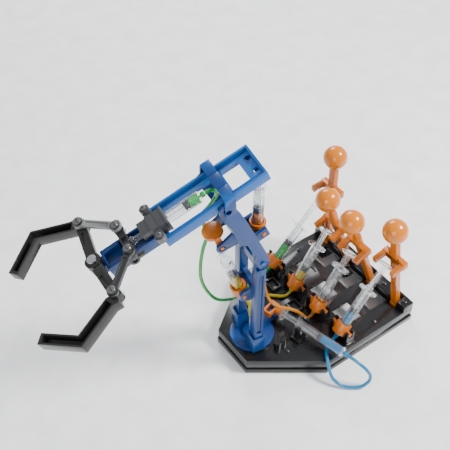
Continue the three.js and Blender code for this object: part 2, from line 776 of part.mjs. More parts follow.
LANES.forEach((y, i) => {
  const n = i + 1;
  arm.add(mesh(`fork_clip_${n}`, forkClip(y), "black"));
  const leverFrame = frame(PIVOT.x, y, PIVOT.z, REST_TILT[i]);
  leverFrame.add(mesh(`lever_${n}`, lever(), "orange"));
  leverFrame.add(mesh(`knob_${n}`, knob(), "orange"));
  arm.add(leverFrame);
  const tilt = THREE.MathUtils.degToRad(REST_TILT[i]);
  const thumbX = PIVOT.x + LEVER.yoke * Math.sin(tilt) + LEVER.reach * Math.cos(tilt);
  const thumbZ = PIVOT.z + LEVER.yoke * Math.cos(tilt) - LEVER.reach * Math.sin(tilt);
  const dx = thumbX - COLLAR_X;
  const dz = thumbZ - COLLAR_Z;
  const syringe = frame(COLLAR_X, y, COLLAR_Z, THREE.MathUtils.radToDeg(Math.atan2(dx, dz)));
  syringe.add(mesh(`collar_${n}`, collar(), "orange"));
  syringe.add(mesh(`barrel_${n}`, barrel(), "clear"));
  syringe.add(mesh(`plunger_${n}`, plunger(Math.hypot(dx, dz)), "clear"));
  arm.add(syringe);
});

// The swivel syringe lies level, with its plunger's clevis round the turntable's crank pin.
const swivelAngle = THREE.MathUtils.degToRad(CRANK.angle + SWIVEL_REST);
const crank = new THREE.Vector2(Math.cos(swivelAngle), Math.sin(swivelAngle)).multiplyScalar(CRANK.r);
const SWIVEL = { heading: 103.6, height: 32.5, gap: 33, eye: 3.3 };

function swivelStand() {
  const low = BASE.high + GAP;
  const seat = BARREL.outer + GAP;
  const body = block([-9, 34, low], [9, 40, SWIVEL.height + 4]);
  return cut(
    join(body, block([-12, 31, low], [12, 43, low + 2.5])),
    rod("y", seat, 25, 50, [0, SWIVEL.height], 20),
    block([-seat, 25, SWIVEL.height], [seat, 50, SWIVEL.height + 9]),
  );
}

// The crank pin swings sideways as it turns, so the slot lies off the syringe's line.
function clevis() {
  const z = SWIVEL.height;
  const middle = SWIVEL.eye;
  const eye = block([middle - 8.3, -4.6, z - 3], [middle + 8.3, 4.6, z + 3]);
  const slot = block([middle - 6.5, -2.8, z - 4], [middle + 6.5, 2.8, z + 4]);
  const neck = rod("y", 4.2, 3.5, 12, [0, z], 16);
  return join(cut(eye, slot), cut(neck, slot));
}

// In this group +Y runs from the crank pin towards the nozzle.
const swivelGroup = new THREE.Group();
swivelGroup.position.set(crank.x, crank.y, 0);
swivelGroup.rotation.z = THREE.MathUtils.degToRad(SWIVEL.heading - 90);
swivelGroup.add(mesh("swivel_stand", swivelStand(), "black"));
swivelGroup.add(mesh("swivel_clevis", clevis(), "orange"));
const swivelSyringe = new THREE.Group();
swivelSyringe.position.set(0, SWIVEL.gap + BARREL.flange, SWIVEL.height);
swivelSyringe.rotation.x = Math.PI / 2;
swivelSyringe.add(mesh("swivel_barrel", barrel(), "clear"));
swivelSyringe.add(mesh("swivel_plunger", plunger(BARREL.flange + SWIVEL.gap - 12 - 1.2), "clear"));
swivelGroup.add(swivelSyringe);
arm.add(swivelGroup);

const heading = new THREE.Group();
heading.rotation.z = THREE.MathUtils.degToRad(SWIVEL_REST);
arm.add(heading);
heading.add(mesh("turntable", turntable(), "blue"));
heading.add(mesh("tower", tower(), "blue"));
const pinEnd = UPPER.outer + 1.5;
heading.add(mesh("shoulder_pin", rod("y", 2.1, -pinEnd, pinEnd, [SHOULDER.x, SHOULDER.z], 12), "steel"));

// A syringe between two pins in the arm's plane. Its thumb disc lies beyond the upper pins by "past".
function slaveSyringe(name, { low, high, long }, past) {
  const dx = high[0] - low[0];
  const dz = high[1] - low[1];
  const g = frame(low[0], 0, low[1], THREE.MathUtils.radToDeg(Math.atan2(dx, dz)));
  const reach = Math.hypot(dx, dz);
  g.add(mesh(`${name}_collar`, collar(), "orange"));
  g.add(mesh(`${name}_barrel`, barrel(), "clear"));
  g.add(mesh(`${name}_plunger`, plunger(reach + past, long), "clear"));
  heading.add(g);
  return [g, reach];
}

const [shoulderGroup, shoulderReach] = slaveSyringe("shoulder", SHOULDER_SYRINGE, CAP.thumb);

function endCap(reach) {
  const arms = [-1, 1].map((side) =>
    join(
      block([-3, side * 8.2, reach - 4], [3, side * 10.4, reach + CAP.high - 1]),
      rod("y", 3.6, side > 0 ? 8.2 : -10.4, side > 0 ? 10.4 : -8.2, [0, reach], 12),
      rod("y", 1.8, side > 0 ? 9 : -13.9, side > 0 ? 13.9 : -9, [0, reach], 10),
    ),
  );
  const disc = rod("z", CAP.r, reach + CAP.low, reach + CAP.high, [0, 0], 24);
  const bridge = block([-3, -10.4, reach + CAP.low], [3, 10.4, reach + CAP.high - 0.6]);
  return join(disc, bridge, ...arms);
}
shoulderGroup.add(mesh("shoulder_end_cap", endCap(shoulderReach), "orange"));
slaveSyringe("elbow", ELBOW_SYRINGE, 0);

const upper = frame(SHOULDER.x, 0, SHOULDER.z, UPPER.lean);
upper.add(mesh("upper_arm", upperArm(), "blue"));
heading.add(upper);

const fore = frame(ELBOW.x, 0, ELBOW.z, DROP);
fore.add(mesh("forearm_frame", forearmFrame(), "blue"));
fore.add(mesh("forearm_bracket", bracket(), "blue"));
fore.add(mesh("forearm_nose", noseBeam(), "blue"));
fore.add(mesh("grip_clamp", gripClamp(), "grey"));
const gripSyringe = new THREE.Group();
gripSyringe.position.set(GRIP.s, 0, GRIP.h);
gripSyringe.rotation.y = Math.PI / 2;
gripSyringe.add(mesh("grip_barrel", barrel(false), "clear"));
gripSyringe.add(mesh("grip_plunger", plunger(SLIDER_S - 4.7 - GRIP.s, GRIP.long, 4.6), "clear"));
fore.add(gripSyringe);
fore.add(mesh("slider", slider(), "grey"));
for (const [name, side] of [
  ["a", 1],
  ["b", -1],
]) {
  fore.add(mesh(`link_${name}`, link(side), "grey"));
  fore.add(mesh(`jaw_${name}`, jaw(side), "grey"));
}
fore.add(mesh("jaw_pin", jawPin(), "steel"));
heading.add(fore);

for (const [name, points] of Object.entries(HOSES)) {
  arm.add(mesh(`hose_${name}`, tube(points, HOSE_R), name === "blue" ? "water" : name));
}

export default arm;
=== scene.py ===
"""A toy hydraulic arm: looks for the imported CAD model.
Lengths are in metres unless a name or a comment says mm."""

import json
import math

import bmesh
import bpy
from mathutils import Matrix, Vector
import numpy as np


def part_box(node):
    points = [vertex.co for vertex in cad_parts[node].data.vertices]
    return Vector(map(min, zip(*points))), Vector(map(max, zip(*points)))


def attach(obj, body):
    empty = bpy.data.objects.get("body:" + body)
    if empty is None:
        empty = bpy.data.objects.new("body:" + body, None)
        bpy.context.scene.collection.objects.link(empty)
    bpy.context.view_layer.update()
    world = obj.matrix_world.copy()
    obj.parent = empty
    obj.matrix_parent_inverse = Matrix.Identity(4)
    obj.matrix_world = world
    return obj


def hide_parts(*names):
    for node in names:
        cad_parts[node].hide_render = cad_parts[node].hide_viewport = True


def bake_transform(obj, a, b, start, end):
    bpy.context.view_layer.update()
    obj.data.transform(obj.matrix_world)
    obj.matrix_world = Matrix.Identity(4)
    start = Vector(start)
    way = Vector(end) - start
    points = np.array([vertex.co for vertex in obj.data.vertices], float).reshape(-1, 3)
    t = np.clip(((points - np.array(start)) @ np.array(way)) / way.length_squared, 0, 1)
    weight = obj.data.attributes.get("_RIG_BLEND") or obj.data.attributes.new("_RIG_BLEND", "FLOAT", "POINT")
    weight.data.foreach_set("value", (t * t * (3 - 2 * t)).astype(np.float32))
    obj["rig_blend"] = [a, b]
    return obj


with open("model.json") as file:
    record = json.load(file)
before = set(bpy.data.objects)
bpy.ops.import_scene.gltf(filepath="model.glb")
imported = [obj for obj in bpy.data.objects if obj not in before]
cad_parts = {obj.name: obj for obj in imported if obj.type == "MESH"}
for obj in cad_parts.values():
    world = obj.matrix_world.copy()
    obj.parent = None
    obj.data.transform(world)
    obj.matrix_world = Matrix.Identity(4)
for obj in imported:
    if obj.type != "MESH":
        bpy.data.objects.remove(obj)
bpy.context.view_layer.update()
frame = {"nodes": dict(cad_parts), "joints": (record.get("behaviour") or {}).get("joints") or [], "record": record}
MM = 0.001
JOINTS = {j["name"]: j for j in frame["joints"]}
BODY_OF = {n: b for b, members in frame["record"]["behaviour"]["bodies"].items() for n in members}
SLOT_OF = {s["node"]: s["material_slot"] for s in frame["record"]["subparts"]}

# The camera stands where the photograph's did.
CAMERA = Vector((0.3123, 0.3863, 0.6904))
CAMERA_TARGET = Vector((-0.04373, -0.10644, 0.060))
LENS_MM = 65.96

HOSE_R = 1.7 * MM


# ---------------------------------------------------------------- camera, floor and light
def make_camera():
    camera = bpy.data.objects.new("camera", bpy.data.cameras.new("camera"))
    bpy.context.scene.collection.objects.link(camera)
    camera.location = CAMERA
    camera.rotation_euler = (CAMERA_TARGET - CAMERA).to_track_quat("-Z", "Y").to_euler()
    camera.data.lens = LENS_MM
    camera.data.sensor_width = 36
    camera.data.clip_start = 0.01
    bpy.context.scene.camera = camera


def area_light(name, place, target, size, watts):
    light = bpy.data.lights.new(name, "AREA")
    light.shape = "DISK"
    light.size = size
    light.energy = watts
    lamp = bpy.data.objects.new(name, light)
    bpy.context.scene.collection.objects.link(lamp)
    lamp.location = place
    lamp.rotation_euler = (Vector(target) - Vector(place)).to_track_quat("-Z", "Y").to_euler()


# Each lamp's name, place, what it looks at, size and watts.
LAMPS = [
    ("key", (-0.75, 0.55, 1.15), (0, 0, 0.08), 0.40, 33),
    ("fill", (1.1, 0.7, 0.7), (0, 0, 0.1), 0.9, 9),
    ("back", (-0.5, -1.1, 0.9), (0, 0, 0.1), 0.7, 12),
]
SKY = (0.93, 0.95, 1.0, 1)
SKY_STRENGTH = 0.70
FLOOR_HALF = 3.0
FLOOR_COLOUR = (0.93, 0.935, 0.94)


def make_lights():
    for lamp in LAMPS:
        area_light(*lamp)
    world = bpy.data.worlds.new("world")
    bpy.context.scene.world = world
    world.use_nodes = True
    background = world.node_tree.nodes["Background"]
    background.inputs["Color"].default_value = SKY
    background.inputs["Strength"].default_value = SKY_STRENGTH


def make_floor():
    half = FLOOR_HALF
    mesh = bpy.data.meshes.new("floor")
    corners = [(-half, -half, 0), (half, -half, 0), (half, half, 0), (-half, half, 0)]
    mesh.from_pydata(corners, [], [(0, 1, 2, 3)])
    floor = bpy.data.objects.new("floor", mesh)
    bpy.context.scene.collection.objects.link(floor)
    mesh.materials.append(material("floor_paper", FLOOR_COLOUR, 0.65, grain=0.03, grain_scale=90))


# ---------------------------------------------------------------- materials
CLOUD_SCALE = 35  # the slow change of shade and gloss
CLOUD_SPAN = (0.3, 0.7)
EDGE_SPAN = (0.56, 0.68)  # the pointiness from which the painted edge highlight begins, and at which it is full
# How much of the painted edge highlight shows where the pointiness is full.
EDGE_HIGHLIGHT_MIX = (0.6, 0.6, 0.6, 1)
COAT_ROUGHNESS = 0.06
GLOSS_SPREAD = 0.05
LEAST_ROUGHNESS = 0.02
GRAIN_DEPTH = 0.0004


def material(
    name,
    colour,
    roughness,
    metallic=0.0,
    grain=0.0,
    grain_scale=400,
    spread=0.06,
    coat=0.0,
    transmission=0.0,
    ior=1.47,
    edge_highlight=None,
):
    """Moulded plastic or metal: a fine grain in the surface, a slow change of shade, and uneven gloss.
    A given lighter colour is painted on the sharp edges as a highlight."""
    m = bpy.data.materials.new(name)
    m.use_nodes = True
    nodes = m.node_tree.nodes
    links = m.node_tree.links
    shader = nodes["Principled BSDF"]
    shader.inputs["Metallic"].default_value = metallic
    shader.inputs["Coat Weight"].default_value = coat
    shader.inputs["Coat Roughness"].default_value = COAT_ROUGHNESS
    shader.inputs["Transmission Weight"].default_value = transmission
    shader.inputs["IOR"].default_value = ior

    place = nodes.new("ShaderNodeTexCoord")
    cloud = nodes.new("ShaderNodeTexNoise")
    cloud.inputs["Scale"].default_value = CLOUD_SCALE
    cloud.inputs["Detail"].default_value = 3
    links.new(place.outputs["Object"], cloud.inputs["Vector"])

    shade = nodes.new("ShaderNodeValToRGB")
    shade.color_ramp.elements[0].position = CLOUD_SPAN[0]
    shade.color_ramp.elements[1].position = CLOUD_SPAN[1]
    shade.color_ramp.elements[0].color = (*[c * (1 - spread) for c in colour], 1)
    shade.color_ramp.elements[1].color = (*[min(1, c * (1 + spread)) for c in colour], 1)
    links.new(cloud.outputs["Fac"], shade.inputs["Fac"])
    base = shade.outputs["Color"]
    # Painted highlight: a lighter colour blended in on the sharp edges, by their pointiness.
    if edge_highlight:
        edge = nodes.new("ShaderNodeNewGeometry")
        ramp = nodes.new("ShaderNodeValToRGB")
        ramp.color_ramp.elements[0].position = EDGE_SPAN[0]
        ramp.color_ramp.elements[1].position = EDGE_SPAN[1]
        ramp.color_ramp.elements[0].color = (0, 0, 0, 1)
        ramp.color_ramp.elements[1].color = EDGE_HIGHLIGHT_MIX
        links.new(edge.outputs["Pointiness"], ramp.inputs["Fac"])
        mix = nodes.new("ShaderNodeMix")
        mix.data_type = "RGBA"
        links.new(ramp.outputs["Color"], mix.inputs["Factor"])
        links.new(base, mix.inputs["A"])
        mix.inputs["B"].default_value = (*edge_highlight, 1)
        base = mix.outputs["Result"]
    links.new(base, shader.inputs["Base Color"])

    gloss = nodes.new("ShaderNodeMapRange")
    gloss.inputs["To Min"].default_value = max(LEAST_ROUGHNESS, roughness - GLOSS_SPREAD)
    gloss.inputs["To Max"].default_value = roughness + GLOSS_SPREAD
    links.new(cloud.outputs["Fac"], gloss.inputs["Value"])
    links.new(gloss.outputs["Result"], shader.inputs["Roughness"])

    if grain:
        speck = nodes.new("ShaderNodeTexNoise")
        speck.inputs["Scale"].default_value = grain_scale
        speck.inputs["Detail"].default_value = 4
        links.new(place.outputs["Object"], speck.inputs["Vector"])
        bump = nodes.new("ShaderNodeBump")
        bump.inputs["Strength"].default_value = grain
        bump.inputs["Distance"].default_value = GRAIN_DEPTH
        links.new(speck.outputs["Fac"], bump.inputs["Height"])
        links.new(bump.outputs["Normal"], shader.inputs["Normal"])
    return m


WATER = {
    "green": (0.02, 0.55, 0.08),
    "yellow": (0.90, 0.68, 0.002),
    "amber": (0.88, 0.30, 0.004),
    "blue": (0.001, 0.33, 0.68),
}

# Each finish is a colour, a roughness, and whatever else material() takes.
# The lighter edge colours given here are painted highlights on the sharp edges.
FINISHES = {
    "base_plastic": ((0.0058, 0.0062, 0.007), 0.20, dict(grain=0.10, coat=0.15, edge_highlight=(0.02, 0.02, 0.022))),
    "arm_plastic": ((0.0002, 0.032, 0.150), 0.30, dict(grain=0.06, coat=0.08, edge_highlight=(0.004, 0.13, 0.46))),
    "trim_plastic": ((0.50, 0.118, 0.0001), 0.28, dict(grain=0.06, coat=0.12, edge_highlight=(0.85, 0.27, 0.01))),
    "gripper_plastic": (
        (0.011, 0.0105, 0.010),
        0.30,
        dict(grain=0.15, coat=0.12, edge_highlight=(0.06, 0.058, 0.055)),
    ),
    "knob_plastic": ((0.62, 0.170, 0.0001), 0.20, dict(grain=0.02, coat=0.25)),
    "steel": ((0.55, 0.56, 0.58), 0.26, dict(metallic=1.0, grain=0.2, grain_scale=900)),
    "clear_plastic": (
        (0.97, 0.985, 0.99),
        0.06,
        dict(spread=0.008, transmission=0.98, ior=1.16, coat=0.8),
    ),
    "plunger_plastic": (
        (0.96, 0.97, 0.98),
        0.10,
        dict(spread=0.015, transmission=0.93, ior=1.13, coat=0.3),
    ),
    "seal_rubber": ((0.05, 0.055, 0.06), 0.4, dict(grain=0.2)),
    "link_grey": ((0.024, 0.024, 0.025), 0.26, dict(grain=0.12, coat=0.15, edge_highlight=(0.30, 0.30, 0.30))),
    "slider_grey": ((0.022, 0.022, 0.023), 0.30, dict(grain=0.15, coat=0.2, edge_highlight=(0.2, 0.2, 0.2))),
    "clamp_grey": ((0.050, 0.052, 0.055), 0.36, dict(grain=0.2, edge_highlight=(0.3, 0.3, 0.3))),
    "screw_black": ((0.045, 0.046, 0.05), 0.22, dict(metallic=0.8, grain=0.15)),
    "boss_grey": ((0.085, 0.087, 0.09), 0.30, dict(grain=0.12, coat=0.2)),
}
WATER_FINISH = dict(spread=0.10, transmission=0.45, ior=1.2, coat=0.3)
HOSE_FINISH = dict(spread=0.12, transmission=0.10, ior=1.4, grain=0.05, coat=0.5)
HOSE_SHADE = 0.55  # the hose's wall makes the water in it look this much darker
HOSE_LIFT = 0.002  # keeps every channel off black


def make_materials():
    paint = {}
    for name, (colour, roughness, more) in FINISHES.items():
        paint[name] = material(name, colour, roughness, **more)
    for name, colour in WATER.items():
        paint["water_" + name] = material("water_" + name, colour, 0.08, **WATER_FINISH)
        wall = tuple(c * HOSE_SHADE + HOSE_LIFT for c in colour)
        paint["hose_" + name] = material("hose_" + name, wall, 0.2, **HOSE_FINISH)
    return paint


# ---------------------------------------------------------------- mesh helpers
def finish_mesh(obj, paint, smooth_deg=38):
    mesh = obj.data
    mesh.materials.clear()
    mesh.materials.append(paint)
    mesh.shade_smooth()
    mesh.set_sharp_from_angle(angle=math.radians(smooth_deg))
    return obj


def new_piece(name, verts, faces, place=None):
    mesh = bpy.data.meshes.new(name)
    mesh.from_pydata([tuple(v) for v in verts], [], faces)
    if place is not None:
        mesh.transform(place)
    obj = bpy.data.objects.new(name, mesh)
    bpy.context.scene.collection.objects.link(obj)
    return obj


def lathe(name, profile, place, paint, body, sides=40):
    """A body turned about local Z. The profile is a list of [radius, height] in mm that starts and ends on the
    axis, or that closes on itself when it never meets the axis."""
    closed = min(r for r, _ in profile) > 0
    rows = []
    verts = []
    for r, z in profile:
        if r == 0:
            rows.append([len(verts)] * sides)
            verts.append((0, 0, z * MM))
            continue
        rows.append([len(verts) + i for i in range(sides)])
        for i in range(sides):
            a = 2 * math.pi * i / sides
            verts.append((r * MM * math.cos(a), r * MM * math.sin(a), z * MM))
    faces = []
    pairs = list(zip(rows, rows[1:])) + ([(rows[-1], rows[0])] if closed else [])
    for low, high in pairs:
        for i in range(sides):
            k = (i + 1) % sides
            loop = [low[i], low[k], high[k], high[i]]
            faces.append(list(dict.fromkeys(loop)))
    obj = new_piece(name, verts, faces, place)
    outward(obj)
    finish_mesh(obj, paint)
    if body:
        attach(obj, body)
    return obj


def outward(obj):
    bm = bmesh.new()
    bm.from_mesh(obj.data)
    bmesh.ops.recalc_face_normals(bm, faces=bm.faces)
    bm.to_mesh(obj.data)
    bm.free()


TUBE_SIDES = 16


def tube(name, points, radius, paint):
    """A mesh tube along points, closed by flat caps."""
    sides = TUBE_SIDES
    verts = []
    faces = []
    normal = None
    for i, p in enumerate(points):
        ahead = points[min(i + 1, len(points) - 1)] - points[max(i - 1, 0)]
        ahead.normalize()
        if normal is None:
            normal = ahead.orthogonal().normalized()
        normal = (normal - ahead * normal.dot(ahead)).normalized()
        side = ahead.cross(normal)
        for k in range(sides):
            a = 2 * math.pi * k / sides
            verts.append(p + radius * (math.cos(a) * normal + math.sin(a) * side))
    for i in range(len(points) - 1):
        for k in range(sides):
            j = (k + 1) % sides
            faces.append([i * sides + k, i * sides + j, (i + 1) * sides + j, (i + 1) * sides + k])
    faces.append(list(reversed(range(sides))))
    faces.append([(len(points) - 1) * sides + k for k in range(sides)])
    obj = new_piece(name, verts, faces)
    outward(obj)
    return finish_mesh(obj, paint, 60)


ROUTE_STEP = 1.2 * MM


def smooth_route(points_mm):
    """Points on a centripetal Catmull-Rom curve through the route, about one step apart."""
    pts = [Vector(p) * MM for p in points_mm]
    first = pts[0] + (pts[0] - pts[1])
    last = pts[-1] + (pts[-1] - pts[-2])
    pts = [first, *pts, last]
    out = []
    for a, b, c, d in zip(pts, pts[1:], pts[2:], pts[3:]):
        t0 = 0.0
        t1 = t0 + math.sqrt((b - a).length)
        t2 = t1 + math.sqrt((c - b).length)
        t3 = t2 + math.sqrt((d - c).length)
        count = max(2, round((c - b).length / ROUTE_STEP))
        for k in range(count):
            t = t1 + (t2 - t1) * k / count
            ab = a * ((t1 - t) / (t1 - t0)) + b * ((t - t0) / (t1 - t0))
            bc = b * ((t2 - t) / (t2 - t1)) + c * ((t - t1) / (t2 - t1))
            cd = c * ((t3 - t) / (t3 - t2)) + d * ((t - t2) / (t3 - t2))
            abc = ab * ((t2 - t) / (t2 - t0)) + bc * ((t - t0) / (t2 - t0))
            bcd = bc * ((t3 - t) / (t3 - t1)) + cd * ((t - t1) / (t3 - t1))
            out.append(abc * ((t2 - t) / (t2 - t1)) + bcd * ((t - t1) / (t2 - t1)))
    out.append(pts[-2])
    return out


# ---------------------------------------------------------------- hoses
# Each route runs from a driven syringe's nozzle to its control's nozzle, in mm, as the CAD's tubes do.
ROUTES = {
    "green": [
        (46.8, -8.2, 234.6),
        (42.3, -7.5, 235.5),
        (39.1, -6.9, 234.2),
        (37.0, -6.6, 231.4),
        (36.5, -6.8, 227.9),
        (37.0, -7.4, 225.4),
        (41.4, -9.3, 217),
        (44.2, -14.4, 207),
        (44.8, -19.6, 196),
        (40.1, -22.8, 186),
        (37.2, -25.3, 174),
        (34.6, -25.4, 162),
        (38.8, -26.0, 146),
        (41.5, -26.4, 127),
        (41.0, -27.2, 107),
        (35.4, -26.6, 86),
        (23.8, -26.0, 65),
        (2.0, -28.8, 48),
        (-13, -38, 36),
        (-28, -46, 27),
        (-42, -51, 22.5),
        (-51, -53.5, 21.8),
        (-57.8, -54, 21.9),
        (-60.5, -54, 22.5),
        (-62.2, -54, 23.45),
    ],
    "yellow": [
        (11.9, -2.1, 87.6),
        (10.8, -1.9, 83.6),
        (7.4, -1.3, 77),
        (3.7, -0.7, 68),
        (2.5, -0.9, 57),
        (1.2, -1.7, 48),
        (-3.8, -4.4, 39),
        (-10, -10.4, 31.5),
        (-14.5, -18.8, 27),
        (-19.7, -28, 24.8),
        (-28, -33.5, 23),
        (-38.5, -30.5, 21.8),
        (-47, -24, 21.4),
        (-53, -19.5, 20.6),
        (-58.7, -18, 19.5),
        (-62, -18, 20.35),
        (-64.1, -18, 22.0),
    ],
    "amber": [
        (-1.5, 0.3, 163.2),
        (-1.8, 0.3, 155),
        (-3.4, 0.6, 140),
        (-5.9, 1.1, 122),
        (-8.9, 1.6, 104),
        (-11.8, 2.1, 86),
        (-15, 3.7, 70),
        (-20, 6.6, 59),
        (-27, 9.6, 51.5),
        (-36, 13.2, 46),
        (-44, 16, 38.5),
        (-50.5, 17.5, 29.5),
        (-54.8, 18, 22.6),
        (-58.8, 18, 19.5),
        (-62.1, 18, 20.3),
        (-64.15, 18, 22.0),
    ],
    "blue": [
        (-52.8, 82.2, 32.5),
        (-54.2, 88, 32.3),
        (-57, 95.5, 30),
        (-61, 102, 24),
        (-64, 105.5, 15.5),
        (-62.5, 106, 8),
        (-55.5, 104, 3.2),
        (-46.5, 98, 2.4),
        (-39.5, 90.5, 4.2),
        (-36, 83, 9.5),
        (-36.5, 76.5, 16.5),
        (-38.5, 70.5, 23.2),
        (-44, 62.5, 23.6),
        (-51.5, 56.5, 21.3),
        (-58.2, 54, 20.6),
        (-61.2, 54, 21.3),
        (-63.4, 54, 23.06),
    ],
}

# Each hose is cut where it lies on a body: (body, body, index of the route's point that ends the stretch).
STRETCHES = {
    "green": [
        ("forearm", "upper_arm", 9),
        ("upper_arm", "turntable", 13),
        ("turntable", "root", 19),
        ("root", "ctl_cyl_1", 24),
    ],
    "yellow": [("shoulder_cyl", "turntable", 4), ("turntable", "root", 10), ("root", "ctl_cyl_2", 16)],
    "amber": [
        ("elbow_cyl", "upper_arm", 3),
        ("upper_arm", "turntable", 5),
        ("turntable", "root", 9),
        ("root", "ctl_cyl_3", 15),
    ],
    "blue": [("root", "ctl_cyl_4", 16)],
}
BLUE_BEND = 12  # the blue hose lies still up to this point of its route


def make_hoses(paint):
    for name, stretches in STRETCHES.items():
        begin = 0
        for number, (near, far, end) in enumerate(stretches):
            route = smooth_route_between(ROUTES[name], begin, end)
            hose = tube(f"{name}_hose_{number + 1}", route, HOSE_R, paint["hose_" + name])
            start = Vector(ROUTES[name][BLUE_BEND]) * MM if name == "blue" else route[0]
            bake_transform(hose, near, far, start=start, end=route[-1])
            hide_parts("hose_" + name)
            begin = end


def smooth_route_between(points, begin, end):
    """The stretch of the whole hose's curve between two of its points, so that stretches meet smoothly."""
    whole = smooth_route(points)
    first = Vector(points[begin]) * MM
    last = Vector(points[end]) * MM
    i = min(range(len(whole)), key=lambda k: (whole[k] - first).length)
    j = min(range(len(whole)), key=lambda k: (whole[k] - last).length)
    return [p.copy() for p in whole[i : j + 1]]


# ---------------------------------------------------------------- CAD nodes with softened edges
WELD = 2e-6
FLAT_DEG = 1  # faces that turn less than this become one
SHARP_DEG = 40  # edges that turn more than this are rounded, if they are long enough
SHORTEST_EDGE = 1.5 * MM
ROUNDING = 0.35 * MM


def softened(node, paint):
    """A copy of a CAD node with its long sharp edges rounded, which stands for the node."""
    source = frame["nodes"][node]
    obj = bpy.data.objects.new("fine_" + node, source.data.copy())
    bpy.context.scene.collection.objects.link(obj)
    bm = bmesh.new()
    bm.from_mesh(obj.data)
    bmesh.ops.remove_doubles(bm, verts=bm.verts, dist=WELD)
    bmesh.ops.dissolve_limit(bm, angle_limit=math.radians(FLAT_DEG), verts=bm.verts, edges=bm.edges)
    sharp = [
        e
        for e in bm.edges
        if e.is_manifold
        and e.calc_length() > SHORTEST_EDGE
        and e.calc_face_angle() > math.radians(SHARP_DEG)
    ]
    bmesh.ops.bevel(
        bm, geom=sharp, offset=ROUNDING, segments=2, profile=0.5, affect="EDGES", clamp_overlap=True
    )
    bm.to_mesh(obj.data)
    bm.free()
    for name in [a.name for a in obj.data.attributes if a.name.startswith("custom_normal")]:
        obj.data.attributes.remove(obj.data.attributes[name])
    finish_mesh(obj, paint)
    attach(obj, BODY_OF[node])
    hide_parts(node)


# ---------------------------------------------------------------- syringes
# Local Z runs from the collar's pins towards the plunger. Lengths are in mm from the pins.
BARREL_OUTER = 5.2
BARREL_INNER = 4.4
BARREL_LOW = -7
BARREL_FLOOR = -5.8
BARREL_TOP = 47.2
LIP = 0.5  # how far the barrel's mouth stands out
SPOUT_END = -11.5
SPOUT_BORE = 0.9
SPOUT_WATER = -10.9  # the water's end in the spout
FLANGE = (46, 47.4)
WING_HALF_WIDE = 6.4
WING_REACH = 5  # the centre of a wing's round end lies this far out, and the end reaches as far again
WING_STEPS = 8
THUMB_HALF = 0.8
SEAL_LONG = 5
SEAL_CORE = 3.4
SEAL_LIP = 4.15
WATER_GAP = 0.12
RIB_REACH = 3.4
RIB_HALF = 0.5
RIB_CHAMFER = 0.25
DISC_R = 3.7
DISC_THICK = 0.9
DISC_SIDES = 28


def on_forearm(s, w, h):
    """A point in the forearm's own frame: mm along it, to its left and above it from the elbow's pins."""
    along = Vector(JOINTS["grip_slide"]["axis"]).normalized()
    left = Vector(JOINTS["elbow"]["axis"]).normalized()
    up = Vector(JOINTS["jaw_a"]["axis"]).normalized()
    return Vector(JOINTS["elbow"]["pos_m"]) + (along * s + left * w + up * h) * MM


def syringe_place(joint, slide, side):
    """The matrix of a syringe's own frame: its Z is the plunger's travel and its Y is side."""
    along = Vector(JOINTS[slide]["axis"]).normalized()
    across = Vector(side)
    across = (across - along * across.dot(along)).normalized()
    turn = Matrix([across.cross(along), across, along]).transposed().to_4x4()
    return Matrix.Translation(Vector(joint)) @ turn


def flange_wing(name, place, paint, body):
    """The finger flange: a plate with two rounded wings along local Y, and a hole for the barrel."""
    wide = WING_HALF_WIDE
    outline = []
    for side in (1, -1):
        outline += [(side * wide, side * y) for y in (-WING_REACH / 2, 0, WING_REACH / 2)]
        for k in range(WING_STEPS + 1):
            a = math.pi * k / WING_STEPS
            outline.append((side * wide * math.cos(a), side * WING_REACH * (1 + math.sin(a))))
    hole = [(Vector(p).normalized() * (BARREL_OUTER + 0.1)).to_tuple() for p in outline]
    verts = [(x * MM, y * MM, z * MM) for z in FLANGE for x, y in outline + hole]
    n = len(outline)
    faces = []
    for k in range(n):
        m = (k + 1) % n
        faces.append([k, m, n + m, n + k])
        faces.append([2 * n + k, 2 * n + m, 3 * n + m, 3 * n + k])
        faces.append([k, m, 2 * n + m, 2 * n + k])
        faces.append([n + k, n + m, 3 * n + m, 3 * n + k])
    obj = new_piece(name, verts, faces, place)
    outward(obj)
    finish_mesh(obj, paint)
    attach(obj, body)


def barrel_profile():
    """Up the outside from the spout to the mouth, and back down the inside."""
    outer, inner = BARREL_OUTER, BARREL_INNER
    return [
        [SPOUT_BORE, SPOUT_END],
        [1.6, SPOUT_END],
        [1.88, -8],
        [2.3, BARREL_LOW],
        [outer - 0.7, BARREL_LOW],
        [outer, BARREL_LOW + 0.7],
        [outer, FLANGE[0] - 1],
        [outer + LIP, FLANGE[0]],
        [outer + LIP, BARREL_TOP],
        [inner, BARREL_TOP],
        [inner, BARREL_FLOOR + 0.8],
        [inner - 1, BARREL_FLOOR],
        [SPOUT_BORE, BARREL_FLOOR],
    ]


# The hose's widened end, pushed over the spout.
CUFF = [[1.92, -11.3], [2.25, -11.3], [2.5, -10.9], [2.5, -8.2], [2.1, -7.6], [1.92, -7.6]]


def water_profile(tip):
    bore = SPOUT_BORE - 0.1
    wall = BARREL_INNER - WATER_GAP
    return [
        [0, SPOUT_WATER],
        [bore, SPOUT_WATER],
        [bore, BARREL_FLOOR + 0.1],
        [BARREL_INNER - 1, BARREL_FLOOR + 0.15],
        [wall, BARREL_FLOOR + 0.9],
        [wall, tip - 0.1],
        [0, tip - 0.1],
    ]


def seal_profile(tip):
    """Two lips with a groove between them."""
    return [
        [0, tip],
        [SEAL_CORE, tip],
        [SEAL_LIP, tip + 0.5],
        [SEAL_LIP, tip + 1.4],
        [SEAL_CORE, tip + 1.9],
        [SEAL_CORE, tip + 3.2],
        [SEAL_LIP, tip + 3.6],
        [SEAL_LIP, tip + 4.5],
        [SEAL_CORE + 0.2, tip + SEAL_LONG],
        [0, tip + SEAL_LONG],
    ]


